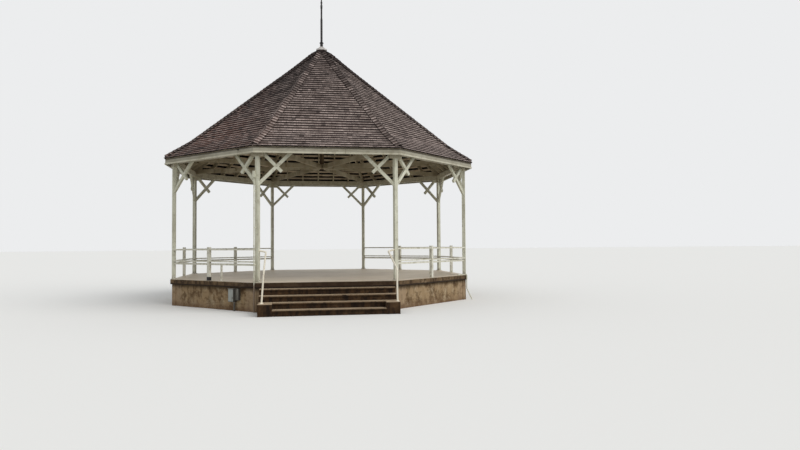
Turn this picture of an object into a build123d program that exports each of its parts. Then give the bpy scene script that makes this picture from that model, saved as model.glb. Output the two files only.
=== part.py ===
from build123d import *
import os
from math import atan, cos, degrees, radians, sin, tan

# Octagonal open bandstand on a raised masonry base, in millimetres.
# The origin is the centre of the base's underside. +Z is up and -Y is the side of the steps.

# Driving dimensions

SIDES = 8
BAY = 3420  # from post centre to post centre

# base and steps
RISERS = 5
RISER = 145
TREAD = 250
NOSING = 22  # how far a tread stands out past its riser
NOSING_T = 45
SLAB_EDGE = 85  # floor slab beyond the centre line of the posts
SLAB_T = 140
SLAB_CHAMFER = 8
PLINTH_SETBACK = 60  # plinth wall behind the slab's edge
PILASTER_W = 150
PILASTER_T = 18
STEPS_IN = 60  # side of the steps from the front posts' centre line inwards
CHEEK_W = 330
CHEEK_RISERS = 2
CHEEK_CHAMFER = 10

# posts and roof frame
POST = 92
POST_H = 3091
BOLSTER_L = 340
BOLSTER_H = 96
PLATE_W = 88
PLATE_H = 154
BRACE_W = 80
BRACE_T = 60
LONG_BRACE_RUN = 795  # from post centre to where the long brace meets the plate
SHORT_BRACE_RUN = 120  # from post centre to where the short brace meets the plate
SHORT_BRACE_REACH = 582  # from post centre to the short brace's free end
TIE_W = 45
TIE_H = 140
TIE_COG = 40  # how far the ties stand below the top of the plate
KING_A = 62  # centre to flat
KING_DROP = 20  # king post below the ties

# roof
MAIN_PITCH = 41.7
KICK_PITCH = 34.8  # flatter pitch of the flared eave
KICK_RUN = 703
EAVE_OUT = 269  # eave beyond the centre line of the posts
COVER_PLUMB = 78  # shingles and open sheathing together, measured plumb
RAFTER_W = 38
RAFTER_PLUMB = 148
HIP_W = 45
RAFTERS_PER_BAY = 5
DRIP = 45  # shingles beyond the fascia
FASCIA_T = 25
FASCIA_H = 146

# top of the roof
COVER_CLEAR = 45  # inner end of the slopes beyond the corners of the king post
CURB_A = 165
CURB_H = 124
CAP_A = 112
CAP_LIP = 16
CAP_TOP_A = 56
CAP_H = 82
COLLAR_R = 45
COLLAR_H = 150
RING_R = 65
RING_H = 30
RING_UP = 110
LOWER_ROD_R = 34
LOWER_ROD_UP = 875
UPPER_ROD_R = 27
KNOB_R = 33
KNOB_UP = 1215
KNOB_H = 150
NECK_R = 23
NECK_H = 25
BUTTON_R = 31
BUTTON_H = 60
TIP_UP = 1625
TIP_R = 5

# railings
RAIL_UP = 826  # top of the top rail above the floor
RAIL_W = 89
RAIL_T = 38
LEDGE_UP = 516
LEDGE_T = 34
LOWER_GAP = 30  # between the ledge and the rail below it
LOWER_T = 38
LOWER_H = 48
MID_POST = 78
MID_POST_OUT = 25
MID_POST_OVER = 45
FRONT_LEFT_SHIFT = -135  # the front left middle post stands off centre
FRONT_RIGHT_SHIFT = -105
LEG = 40
LEG_AT = 340

# handrails
PIPE_R = 21
PIPE_BEND_R = 60
HAND_UP = 785  # above the floor, at the post
HAND_BEND_IN = 205  # from the post's centre line inwards
HAND_BEND_OUT = 80  # from the post's centre line forwards
HAND_BEND_DROP = 42
HAND_LEG_UP = 765  # top of the leg above the cheek block
HAND_LEG_BACK = 130  # leg behind the front of the cheek block
LEFT_LEG_TOP_IN = 145  # from the cheek block's outer side inwards
LEFT_LEG_FOOT_IN = 88
RIGHT_LEG_TOP_IN = 60
RIGHT_LEG_FOOT_IN = 50

# electrical box and conduits
BOX_W = 195
BOX_H = 335
BOX_T = 120
BOX_UP = 225
BOX_AT = 883  # from the middle of the bay towards the steps
SIDE_BOX_W = 130
SIDE_BOX_H = 295
SIDE_BOX_T = 60
STUB_R = 24
STUB_IN = 30  # centre of the stub from the box's edge
CONDUIT_R = 14
CONDUIT_CLEAR = 2
CONDUIT_IN = 14  # from the front left post's centre along the bay
CONDUIT_UP = 3290
JUNCTION_W = 64
JUNCTION_H = 165
CLIP_H = 30
CLIP_T = 14
CLIP_LEVELS = (1150, 2050, 2950)
FLOOR_RUN = 400  # conduit lying on the slab's edge beside the right hand post
CORNER_BACK = 110
CONDUIT_BEND_R = 45
CONDUIT_KICK_UP = 330
CONDUIT_KICK_OUT = 110

# Derived sizes

HALF = radians(180 / SIDES)
POST_R = BAY / 2 / sin(HALF)
POST_A = BAY / 2 / tan(HALF)
FLOOR = RISERS * RISER
SLAB_A = POST_A + SLAB_EDGE
STEPS_HALF_W = BAY / 2 - STEPS_IN
PLINTH_A = SLAB_A - PLINTH_SETBACK
PLINTH_H = FLOOR - SLAB_T
POST_TOP = FLOOR + POST_H
PLATE_BOTTOM = POST_TOP + BOLSTER_H
PLATE_TOP = PLATE_BOTTOM + PLATE_H
PLATE_IN = POST_A - PLATE_W / 2
PLATE_OUT = POST_A + PLATE_W / 2
TIE_BOTTOM = PLATE_TOP - TIE_COG

EAVE_A = POST_A + EAVE_OUT
KICK_A = EAVE_A - KICK_RUN
FASCIA_A = EAVE_A - DRIP
TAIL_A = FASCIA_A - FASCIA_T
MAIN_SLOPE = tan(radians(MAIN_PITCH))
KICK_SLOPE = tan(radians(KICK_PITCH))
EAVE_Z = PLATE_TOP - KICK_SLOPE * (EAVE_A - PLATE_IN) + RAFTER_PLUMB + COVER_PLUMB
KICK_Z = EAVE_Z + KICK_SLOPE * KICK_RUN

BAY_NAMES = ("front", "front_right", "right", "back_right", "back", "back_left", "left", "front_left")
OPEN_BAYS = ("front", "back")
BAY_ANGLES = [-90 + 360 / SIDES * i for i in range(SIDES)]
POST_ANGLES = [angle + 180 / SIDES for angle in BAY_ANGLES]


def roof_z(a, below=0):
    """Height of the roof surface at distance a from the centre, square to an eave."""
    if a > KICK_A:
        return KICK_Z - KICK_SLOPE * (a - KICK_A) - below
    return KICK_Z + MAIN_SLOPE * (KICK_A - a) - below


def section_plane(angle):
    """Plumb plane through the centre: local x runs outwards, local y runs up."""
    out = Vector(cos(radians(angle)), sin(radians(angle)), 0)
    return Plane(origin=(0, 0, 0), x_dir=out, z_dir=out.cross(Vector(0, 0, 1)))


def bay_plane(angle, a=POST_A):
    """Plumb plane along a bay: local x runs along the bay, local y up, local z outwards."""
    out = Vector(cos(radians(angle)), sin(radians(angle)), 0)
    return Plane(origin=out * a, x_dir=Vector(0, 0, 1).cross(out), z_dir=out)


def octagon(apothem, turn=180 / SIDES, mode=Mode.ADD):
    """Regular polygon by its centre-to-flat distance, with flats that face the bays."""
    return RegularPolygon(apothem, SIDES, major_radius=False, rotation=turn, mode=mode)


def on_post(angle, radius=POST_R):
    """Location on the plan at a post's corner, with local x pointing outwards."""
    return Location((radius * cos(radians(angle)), radius * sin(radians(angle)), 0), (0, 0, angle))


def save(name, piece):
    piece.label = name
    export_step(piece, f"parts/{name}.step")


def save_set(name, pieces):
    """One node of several solids that touch but stay apart."""
    save(name, Compound([solid for piece in pieces for solid in piece.solids()]))


os.makedirs("parts", exist_ok=True)

# Plinth wall and its fill, with a flat pilaster at each side of each corner

with BuildPart() as plinth:
    with BuildSketch():
        octagon(PLINTH_A)
        for angle in BAY_ANGLES:
            flat = bay_plane(angle, PLINTH_A)
            for side in (-1, 1):
                centre = flat.from_local_coords((side * (PLINTH_A * tan(HALF) - PILASTER_W / 2), 0, 0))
                with Locations(Location((centre.X, centre.Y, 0), (0, 0, angle))):
                    Rectangle(2 * PILASTER_T, PILASTER_W)
    extrude(amount=PLINTH_H)
save("plinth", plinth.part)

# Floor slab, overhanging the plinth all round

with BuildPart() as floor_slab:
    with BuildSketch(Plane.XY.offset(PLINTH_H)):
        octagon(SLAB_A)
    extrude(amount=SLAB_T)
    chamfer(floor_slab.faces().sort_by(Axis.Z)[-1].edges(), SLAB_CHAMFER)
save("floor_slab", floor_slab.part)

# Flight of steps: the two upper ones run the full width, the lower ones lie between the cheek blocks


def step_outline(first, last):
    """Side outline of steps first..last, counted from the top: local x runs forwards, y up."""
    points = [(PLINTH_A, 0)]
    for step in range(last, first - 1, -1):
        front = SLAB_A + step * TREAD
        top = FLOOR - step * RISER
        base = top - RISER
        points += [(front - NOSING, base), (front - NOSING, top - NOSING_T)]
        points += [(front, top - NOSING_T), (front, top)]
    points.append((PLINTH_A, FLOOR - first * RISER))
    return points


UPPER_STEPS = RISERS - 1 - CHEEK_RISERS
CHEEK_IN = STEPS_HALF_W - CHEEK_W
CHEEK_TOP = CHEEK_RISERS * RISER
FOOT_Y = -(SLAB_A + (RISERS - 1) * TREAD)
CHEEK_BACK_Y = -(SLAB_A + UPPER_STEPS * TREAD - NOSING)

with BuildPart() as entry_steps:
    with BuildSketch(section_plane(-90)):
        with BuildLine():
            Polyline(*step_outline(1, RISERS - 1), close=True)
        make_face()
    extrude(amount=CHEEK_IN, both=True)
    with BuildSketch(section_plane(-90)):
        with BuildLine():
            upper = step_outline(1, UPPER_STEPS)
            Polyline(upper[0], (upper[1][0], 0), *upper[2:], close=True)
        make_face()
    extrude(amount=STEPS_HALF_W, both=True)
    add(plinth.part, mode=Mode.SUBTRACT)
save("entry_steps", entry_steps.part)

with BuildPart() as step_cheeks:
    for side in (-1, 1):
        middle = side * (CHEEK_IN + CHEEK_W / 2)
        with Locations((middle, (FOOT_Y + CHEEK_BACK_Y) / 2, CHEEK_TOP / 2)):
            Box(CHEEK_W, CHEEK_BACK_Y - FOOT_Y, CHEEK_TOP)
    chamfer(step_cheeks.faces().group_by(Axis.Z)[-1].edges(), CHEEK_CHAMFER)
save("step_cheeks", step_cheeks.part)

# Posts, each square to the line from the centre

posts = []
for number, angle in enumerate(POST_ANGLES, start=1):
    with BuildPart() as post:
        with BuildSketch(Plane.XY.offset(FLOOR)):
            with Locations(on_post(angle)):
                Rectangle(POST, POST)
        extrude(amount=POST_H)
    posts.append(post.part)
    save(f"post_{number}", post.part)

# Bolsters on the posts, and the ring of plates that they carry

with BuildPart() as bolsters:
    with BuildSketch(Plane.XY.offset(POST_TOP)):
        with Locations([on_post(angle) for angle in POST_ANGLES]):
            Rectangle(POST, BOLSTER_L)
    extrude(amount=BOLSTER_H)
save("bolsters", bolsters.part)


def bay_wedge(angle, inset=0):
    """Plan of one bay's slice from the centre to the eave, kept clear of the hips by inset."""
    tip = inset / sin(HALF)
    side = (EAVE_A - tip) * tan(HALF)
    with Locations(Location((0, 0, 0), (0, 0, angle))):
        Polygon((tip, 0), (EAVE_A, -side), (EAVE_A, side), align=None)


def mitred_board(angle, outer, thick, bottom, height):
    """Upright board along a bay, its ends mitred on the lines of the posts."""
    with BuildPart() as board:
        with BuildSketch(section_plane(angle)):
            with Locations((outer, bottom)):
                Rectangle(thick, height, align=(Align.MAX, Align.MIN))
        extrude(amount=outer * tan(HALF), both=True)
        with BuildSketch(Plane.XY.offset(bottom)):
            bay_wedge(angle)
        extrude(amount=height, mode=Mode.INTERSECT)
    return board.part


plates = [mitred_board(angle, PLATE_OUT, PLATE_W, PLATE_BOTTOM, PLATE_H) for angle in BAY_ANGLES]
save_set("ring_beam", plates)

# Crossed braces: at each end of a bay a long one from the post up to the plate, and a short one
# from the bolster down past it, half lapped where they cross so that their faces lie flush

INTO_PLATE = BRACE_W / 2
BRACE_RISE = PLATE_BOTTOM + INTO_PLATE
SHORT_DROP = SHORT_BRACE_REACH - SHORT_BRACE_RUN

# ends of each kind of brace, as (distance in from the post, height)
LONG_BRACE = ((0, PLATE_BOTTOM - LONG_BRACE_RUN), (LONG_BRACE_RUN + INTO_PLATE, BRACE_RISE))
SHORT_BRACE = ((SHORT_BRACE_RUN - INTO_PLATE, BRACE_RISE), (SHORT_BRACE_REACH, PLATE_BOTTOM - SHORT_DROP))


def brace_face(side, brace, mode=Mode.ADD):
    """Face of a brace at one end of a bay, square-ended and at 45 degrees."""
    start, end = (Vector(side * (BAY / 2 - run), height) for run, height in brace)
    middle = (start + end) / 2
    lean = 45 if (end.X - start.X) * (end.Y - start.Y) > 0 else -45
    with Locations(Location((middle.X, middle.Y, 0), (0, 0, lean))):
        Rectangle((end - start).length, BRACE_W, mode=mode)


for bay, (name, angle) in enumerate(zip(BAY_NAMES, BAY_ANGLES)):
    bars = []
    for brace, lap in ((LONG_BRACE, BRACE_T / 2), (SHORT_BRACE, -BRACE_T / 2)):
        for side in (-1, 1):
            with BuildPart() as bar:
                with BuildSketch(bay_plane(angle)):
                    brace_face(side, brace)
                extrude(amount=BRACE_T / 2, both=True)
                with BuildSketch(bay_plane(angle)):
                    brace_face(side, LONG_BRACE)
                    brace_face(side, SHORT_BRACE, mode=Mode.INTERSECT)
                extrude(amount=lap, mode=Mode.SUBTRACT)
                for carrier in (plates[bay], bolsters.part, posts[bay], posts[bay - 1]):
                    add(carrier, mode=Mode.SUBTRACT)
            bars.append(bar.part)
    save_set(f"braces_{name}", bars)

# Roof frame: ties and hips meet at the king post, five rafters lie between each pair of hips


def hip_z(radius, below=0):
    """Height of the hip rafter's top edge, dropped so that its sides meet the cover's underside."""
    drop = HIP_W / 2 * MAIN_SLOPE * sin(HALF)
    return roof_z(radius * cos(HALF), COVER_PLUMB + drop + below)


def corner_reach(apothem, width):
    """How far a square-ended bar along a corner line runs until it meets the flats inside apothem."""
    return (apothem - width / 2 * sin(HALF)) / cos(HALF)


HIP_KICK = KICK_A / cos(HALF)
HIP_SLOPE = KICK_SLOPE * cos(HALF)
TIE_END = corner_reach(PLATE_IN, TIE_W)
TIE_TOP = TIE_BOTTOM + TIE_H
TIE_SHOULDER = TIE_END - (TIE_TOP - hip_z(TIE_END, RAFTER_PLUMB)) / HIP_SLOPE
HIP_END = corner_reach(TAIL_A, HIP_W)
COVER_IN = KING_A / cos(HALF) + COVER_CLEAR
KING_TOP = roof_z(COVER_IN)

with BuildPart() as king_post:
    with BuildSketch(Plane.XY.offset(TIE_BOTTOM - KING_DROP)):
        octagon(KING_A, turn=0)
    extrude(amount=KING_TOP - TIE_BOTTOM + KING_DROP)
save("king_post", king_post.part)

with BuildPart() as tie_beams:
    for angle in POST_ANGLES:
        with BuildSketch(section_plane(angle)):
            with BuildLine():
                Polyline(
                    (KING_A, TIE_BOTTOM),
                    (TIE_END, TIE_BOTTOM),
                    (TIE_END, hip_z(TIE_END, RAFTER_PLUMB)),
                    (TIE_SHOULDER, TIE_TOP),
                    (KING_A, TIE_TOP),
                    close=True,
                )
            make_face()
        extrude(amount=TIE_W / 2, both=True)
save("tie_beams", tie_beams.part)

with BuildPart() as hip_rafters:
    for angle in POST_ANGLES:
        with BuildSketch(section_plane(angle)):
            with BuildLine():
                Polyline(
                    (KING_A, hip_z(KING_A)),
                    (HIP_KICK, hip_z(HIP_KICK)),
                    (HIP_END, hip_z(HIP_END)),
                    (HIP_END, hip_z(HIP_END, RAFTER_PLUMB)),
                    (HIP_KICK, hip_z(HIP_KICK, RAFTER_PLUMB)),
                    (KING_A, hip_z(KING_A, RAFTER_PLUMB)),
                    close=True,
                )
            make_face()
        extrude(amount=HIP_W / 2, both=True)
    for plate in plates:
        add(plate, mode=Mode.SUBTRACT)
save("hip_rafters", hip_rafters.part)

RAFTER_PITCH = BAY / (RAFTERS_PER_BAY + 1)
RAFTER_OFFSETS = [(number - (RAFTERS_PER_BAY - 1) / 2) * RAFTER_PITCH for number in range(RAFTERS_PER_BAY)]
UNDER = COVER_PLUMB + RAFTER_PLUMB


def rafter_outline(start):
    """Side outline of a rafter from distance start to its tail, notched over the plate."""
    points = [(start, roof_z(start, UNDER)), (start, roof_z(start, COVER_PLUMB))]
    if start < KICK_A:
        points.append((KICK_A, roof_z(KICK_A, COVER_PLUMB)))
    points += [
        (TAIL_A, roof_z(TAIL_A, COVER_PLUMB)),
        (TAIL_A, roof_z(TAIL_A, UNDER)),
        (PLATE_OUT, roof_z(PLATE_OUT, UNDER)),
        (PLATE_OUT, PLATE_TOP),
        (PLATE_IN, PLATE_TOP),
    ]
    if start < KICK_A:
        points.append((KICK_A, roof_z(KICK_A, UNDER)))
    return points


with BuildPart() as common_rafters:
    for angle in BAY_ANGLES:
        for offset_along in RAFTER_OFFSETS:
            with BuildSketch(section_plane(angle).offset(offset_along)):
                with BuildLine():
                    Polyline(*rafter_outline(abs(offset_along) / tan(HALF)), close=True)
                make_face()
            extrude(amount=RAFTER_W / 2, both=True)
    with BuildSketch():
        for angle in BAY_ANGLES:
            bay_wedge(angle, HIP_W / 2)
    extrude(amount=roof_z(0), mode=Mode.INTERSECT)
    add(king_post.part, mode=Mode.SUBTRACT)
save("common_rafters", common_rafters.part)

# Fascia boards on the rafter tails, mitred at the corners

FASCIA_BOTTOM = roof_z(FASCIA_A, COVER_PLUMB) - FASCIA_H
save_set("fascia", [mitred_board(angle, FASCIA_A, FASCIA_T, FASCIA_BOTTOM, FASCIA_H) for angle in BAY_ANGLES])

# Roof cover, one slope to a bay, with the flared eave

for name, angle in zip(BAY_NAMES, BAY_ANGLES):
    with BuildPart() as slope:
        with BuildSketch(section_plane(angle)):
            with BuildLine():
                Polyline(
                    (COVER_IN, roof_z(COVER_IN)),
                    (KICK_A, roof_z(KICK_A)),
                    (EAVE_A, roof_z(EAVE_A)),
                    (EAVE_A, roof_z(EAVE_A, COVER_PLUMB)),
                    (KICK_A, roof_z(KICK_A, COVER_PLUMB)),
                    (COVER_IN, roof_z(COVER_IN, COVER_PLUMB)),
                    close=True,
                )
            make_face()
        extrude(amount=EAVE_A * tan(HALF), both=True)
        with BuildSketch():
            bay_wedge(angle)
        extrude(amount=roof_z(0), mode=Mode.INTERSECT)
    save(f"roof_{name}", slope.part)

# Curb over the inner ends of the slopes, its underside cut to them, with the metal cap and the finial

CURB_BOTTOM = roof_z(CURB_A)
CURB_TOP = CURB_BOTTOM + CURB_H

with BuildPart() as cap_curb:
    with BuildSketch(Plane.XY.offset(CURB_BOTTOM)):
        octagon(CURB_A)
    extrude(amount=CURB_H)
    with BuildSketch(Plane.XY.offset(CURB_BOTTOM)):
        octagon(CURB_A)
    extrude(amount=KING_TOP - CURB_BOTTOM, taper=90 - MAIN_PITCH, mode=Mode.SUBTRACT)
save("cap_curb", cap_curb.part)

with BuildPart() as roof_cap:
    with BuildSketch(Plane.XY.offset(CURB_TOP)):
        octagon(CAP_A)
    extrude(amount=CAP_LIP)
    with BuildSketch(Plane.XY.offset(CURB_TOP + CAP_LIP)):
        octagon(CAP_A)
    extrude(amount=CAP_H - CAP_LIP, taper=degrees(atan((CAP_A - CAP_TOP_A) / (CAP_H - CAP_LIP))))
save("roof_cap", roof_cap.part)

FINIAL_BASE = CURB_TOP + CAP_H

COLLAR_TOP = FINIAL_BASE + COLLAR_H
RING_BOTTOM = FINIAL_BASE + RING_UP
LOWER_ROD_TOP = FINIAL_BASE + LOWER_ROD_UP
KNOB_BOTTOM = FINIAL_BASE + KNOB_UP
NECK_BOTTOM = KNOB_BOTTOM + KNOB_H
BUTTON_BOTTOM = NECK_BOTTOM + NECK_H
BUTTON_TOP = BUTTON_BOTTOM + BUTTON_H

with BuildPart() as finial:
    with BuildSketch(Plane.XZ):
        with BuildLine():
            Polyline(
                (0, FINIAL_BASE),
                (COLLAR_R, FINIAL_BASE),
                (COLLAR_R, RING_BOTTOM),
                (RING_R, RING_BOTTOM + RING_H / 3),
                (RING_R, RING_BOTTOM + RING_H * 2 / 3),
                (COLLAR_R, RING_BOTTOM + RING_H),
                (COLLAR_R, COLLAR_TOP),
                (LOWER_ROD_R, COLLAR_TOP + COLLAR_R - LOWER_ROD_R),
                (LOWER_ROD_R, LOWER_ROD_TOP),
                (UPPER_ROD_R, LOWER_ROD_TOP + 2 * LOWER_ROD_R),
                (UPPER_ROD_R, KNOB_BOTTOM),
                (KNOB_R, KNOB_BOTTOM + KNOB_H / 4),
                (KNOB_R, NECK_BOTTOM - KNOB_H / 4),
                (NECK_R, NECK_BOTTOM),
                (NECK_R, BUTTON_BOTTOM),
                (BUTTON_R, BUTTON_BOTTOM + BUTTON_H / 3),
                (BUTTON_R, BUTTON_TOP - BUTTON_H / 3),
                (NECK_R, BUTTON_TOP),
                (TIP_R, FINIAL_BASE + TIP_UP),
                (0, FINIAL_BASE + TIP_UP),
                close=True,
            )
        make_face()
    revolve(axis=Axis.Z)
save("finial", finial.part)

# Railings of all bays but the front and back ones: a flat top rail, a ledge with a
# narrow rail close below it, and a middle post

MID_SHIFTS = {"front_left": FRONT_LEFT_SHIFT, "front_right": FRONT_RIGHT_SHIFT}
LOWER_BOTTOM = FLOOR + LEDGE_UP - LEDGE_T - LOWER_GAP - LOWER_H

for bay, (name, angle) in enumerate(zip(BAY_NAMES, BAY_ANGLES)):
    if name in OPEN_BAYS:
        continue
    shift = MID_SHIFTS.get(name, 0)
    with BuildPart() as railing:
        with BuildSketch(section_plane(angle)):
            with Locations((POST_A, FLOOR + RAIL_UP - RAIL_T / 2)):
                Rectangle(RAIL_W, RAIL_T)
            with Locations((POST_A, FLOOR + LEDGE_UP - LEDGE_T / 2)):
                Rectangle(RAIL_W, LEDGE_T)
            with Locations((POST_A, LOWER_BOTTOM)):
                Rectangle(LOWER_T, LOWER_H, align=(Align.CENTER, Align.MIN))
        extrude(amount=BAY / 2 - RAIL_W / 2 * tan(HALF), both=True)
        mid_h = RAIL_UP + MID_POST_OVER
        foot = bay_plane(angle, POST_A + MID_POST_OUT).from_local_coords((shift, FLOOR, 0))
        with Locations(Location(foot, (0, 0, angle))):
            Box(MID_POST, MID_POST, mid_h, align=(Align.CENTER, Align.CENTER, Align.MIN))
        if name == "front_left":
            leg_foot = bay_plane(angle).from_local_coords((LEG_AT, FLOOR, 0))
            with Locations(Location(leg_foot, (0, 0, angle))):
                Box(LOWER_T, LEG, LOWER_BOTTOM - FLOOR, align=(Align.CENTER, Align.CENTER, Align.MIN))
        for post in (posts[bay], posts[bay - 1]):
            add(post, mode=Mode.SUBTRACT)
    save(f"railing_{name}", railing.part)

# Pipe handrails, from the front posts down to the cheek blocks

LEG_Y = FOOT_Y + HAND_LEG_BACK
LEGS = ((-1, LEFT_LEG_TOP_IN, LEFT_LEG_FOOT_IN, posts[-1]), (1, RIGHT_LEG_TOP_IN, RIGHT_LEG_FOOT_IN, posts[0]))

with BuildPart() as handrails:
    for side, top_in, foot_in, post in LEGS:
        with BuildLine() as route:
            FilletPolyline(
                (side * BAY / 2, -POST_A, FLOOR + HAND_UP),
                (side * (BAY / 2 - HAND_BEND_IN), -POST_A - HAND_BEND_OUT, FLOOR + HAND_UP - HAND_BEND_DROP),
                (side * (STEPS_HALF_W - top_in), LEG_Y, CHEEK_TOP + HAND_LEG_UP),
                (side * (STEPS_HALF_W - foot_in), LEG_Y, CHEEK_TOP - PIPE_R),
                radius=PIPE_BEND_R,
            )
        with BuildSketch(Plane(origin=route.line @ 0, z_dir=route.line % 0)):
            Circle(PIPE_R)
        sweep()
        add(post, mode=Mode.SUBTRACT)
    add(step_cheeks.part, mode=Mode.SUBTRACT)
save("handrails", handrails.part)

# Electrical box on the front left wall, with a smaller one beside it and a stub of pipe below

wall = bay_plane(BAY_ANGLES[-1], PLINTH_A)

with BuildPart() as meter_box:
    with BuildSketch(wall):
        with Locations((BOX_AT, BOX_UP)):
            Rectangle(BOX_W, BOX_H, align=(Align.CENTER, Align.MIN))
    extrude(amount=BOX_T)
    with BuildSketch(wall):
        with Locations((BOX_AT + (BOX_W + SIDE_BOX_W) / 2, BOX_UP + BOX_H - SIDE_BOX_H)):
            Rectangle(SIDE_BOX_W, SIDE_BOX_H, align=(Align.CENTER, Align.MIN))
    extrude(amount=SIDE_BOX_T)
    stub_at = wall.from_local_coords((BOX_AT + BOX_W / 2 - STUB_IN, 0, BOX_T / 2))
    with Locations(stub_at):
        Cylinder(STUB_R, BOX_UP, align=(Align.CENTER, Align.CENTER, Align.MIN))
save("meter_box", meter_box.part)

# Conduits: one up the front left post to a junction box, one over the slab's edge by the right hand post

post_wall = bay_plane(BAY_ANGLES[-1], SLAB_A + CONDUIT_R + CONDUIT_CLEAR)
up_foot = post_wall.from_local_coords((BAY / 2 - CONDUIT_IN, 0, 0))
edge = bay_plane(BAY_ANGLES[1], SLAB_A - CONDUIT_R - SLAB_CHAMFER)
outside = bay_plane(BAY_ANGLES[1], SLAB_A + CONDUIT_R + CONDUIT_CLEAR)
corner_at = SLAB_A * tan(HALF) - CORNER_BACK
RUN_Z = FLOOR + CONDUIT_R

with BuildPart() as conduits:
    with Locations(up_foot):
        Cylinder(CONDUIT_R, CONDUIT_UP, align=(Align.CENTER, Align.CENTER, Align.MIN))
    with Locations(Location(up_foot + Vector(0, 0, CONDUIT_UP), (0, 0, POST_ANGLES[-1]))):
        Box(JUNCTION_W, JUNCTION_W, JUNCTION_H, align=(Align.CENTER, Align.CENTER, Align.MIN))
    for level in CLIP_LEVELS:
        with BuildSketch(Plane.XY.offset(level)):
            with BuildLine():
                clip = Line(
                    (up_foot.X, up_foot.Y),
                    (POST_R * cos(radians(POST_ANGLES[-1])), POST_R * sin(radians(POST_ANGLES[-1]))),
                )
            trace(clip, line_width=CLIP_T)
        extrude(amount=CLIP_H)
    add(posts[-1], mode=Mode.SUBTRACT)
    with BuildLine() as route:
        FilletPolyline(
            edge.from_local_coords((corner_at - FLOOR_RUN, RUN_Z, 0)),
            edge.from_local_coords((corner_at, RUN_Z, 0)),
            outside.from_local_coords((corner_at + CONDUIT_BEND_R, RUN_Z, 0)),
            outside.from_local_coords((corner_at + CONDUIT_BEND_R, CONDUIT_KICK_UP, 0)),
            outside.from_local_coords((corner_at + CONDUIT_BEND_R + CONDUIT_KICK_OUT, 0, CONDUIT_KICK_OUT)),
            radius=CONDUIT_R * 1.2,
        )
    with BuildSketch(Plane(origin=route.line @ 0, z_dir=route.line % 0)):
        Circle(CONDUIT_R)
    sweep()
save("conduits", conduits.part)
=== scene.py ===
"""Looks of the octagonal bandstand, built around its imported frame. Metres, +Z up, the steps face -Y."""

import math
import random

import bmesh
import bpy
from mathutils import Matrix, Vector


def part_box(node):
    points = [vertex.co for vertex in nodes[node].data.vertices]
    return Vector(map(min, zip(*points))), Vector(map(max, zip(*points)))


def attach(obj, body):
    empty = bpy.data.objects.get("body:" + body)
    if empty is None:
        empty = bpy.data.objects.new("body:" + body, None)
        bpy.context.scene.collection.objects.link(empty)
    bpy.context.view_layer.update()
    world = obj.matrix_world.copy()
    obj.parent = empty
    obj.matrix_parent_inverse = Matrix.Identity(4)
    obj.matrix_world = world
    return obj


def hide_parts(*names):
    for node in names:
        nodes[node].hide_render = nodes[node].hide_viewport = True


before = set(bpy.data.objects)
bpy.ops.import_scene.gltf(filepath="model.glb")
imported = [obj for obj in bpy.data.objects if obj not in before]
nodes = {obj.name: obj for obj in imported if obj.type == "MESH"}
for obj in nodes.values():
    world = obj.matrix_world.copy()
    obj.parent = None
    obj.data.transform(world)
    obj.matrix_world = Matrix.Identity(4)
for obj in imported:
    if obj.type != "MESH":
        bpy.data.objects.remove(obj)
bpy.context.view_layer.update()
random.seed(11)

# Camera, at the photograph's viewpoint

CAMERA_PLACE = (-0.68, -19.836, 1.602)
CAMERA_YAW = -9.053  # degrees to the left of +Y
CAMERA_PITCH = 1.884
CAMERA_ROLL = -0.397
CAMERA_LENS = 28.22
CAMERA_SIGHT = 1000

# Plan of the building

SIDES = 8
HALF = math.pi / SIDES  # half the angle that a bay takes
BAY_NAMES = ("front", "front_right", "right", "back_right", "back", "back_left", "left", "front_left")
BAY_ANGLES = [math.radians(-90 + 360 / SIDES * i) for i in range(SIDES)]
BAYS = dict(zip(BAY_NAMES, BAY_ANGLES))
POST_ANGLES = [angle + HALF for angle in BAY_ANGLES]
UP = Vector((0, 0, 1))
FLOOR_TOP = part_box("floor_slab")[1].z
SLAB_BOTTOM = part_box("floor_slab")[0].z
FASCIA_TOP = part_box("fascia")[1].z
RISERS = 5
STEP_RISE = FLOOR_TOP / RISERS
TREAD_END = min(abs(v.co.x) for v in nodes["step_cheeks"].data.vertices)
POST_HALF = 0.046  # half the side of a post
POST_CENTRES = [sum(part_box(f"post_{i + 1}"), Vector()) / 2 for i in range(SIDES)]
POST_R = sum(centre.xy.length for centre in POST_CENTRES) / SIDES
POST_A = POST_R * math.cos(HALF)  # from the building's axis to the line between two posts
BAY = 2 * POST_R * math.sin(HALF)  # from post to post

# Shingles and the open boarding under them

BOARD_T = 0.022
BOARD_W = 0.078
BOARD_PITCH = 0.190
BOARD_START = 0.032  # lower edge of the first board above the shingles' ends
BOARD_GAP = 0.002
BOARD_KICK = 0.01  # a board that would cross the kick starts this far above it
JOINTED_REACH = 1.2  # courses of boards that reach further out have a joint
SHINGLE_L = 0.400
SHINGLE_SHOWN = 0.127
SHINGLE_BUTT = 0.011
SHINGLE_HEAD = 0.0015
SHINGLE_RISE = SHINGLE_BUTT * SHINGLE_L / SHINGLE_SHOWN
SHINGLE_W = (0.075, 0.165)
SHINGLE_GAP = 0.004
SHINGLE_STRAY = 0.007  # lower ends are out of line by up to this
SHINGLE_CURL = 0.0022
SHINGLE_SINK = 0.0008
NARROWEST = 0.012  # part of a shingle or a board that is laid at a hip
STARTER_L = 0.7 * SHINGLE_L
STARTER_TONES = (0.4, 0.15)  # mean and spread
LAST_COURSE = 0.05  # no course starts closer to the top of the slope
# mean tone of each slope; the low tones of the left slopes are a painted shade
SLOPE_TONE_AND_SHADE = {"front": 0.48, "front_left": 0.25, "left": 0.29, "front_right": 0.50, "right": 0.46}
BACK_TONE = 0.46
TONE_SPREAD = 0.14

# Hip caps and the metal at the top

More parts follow.
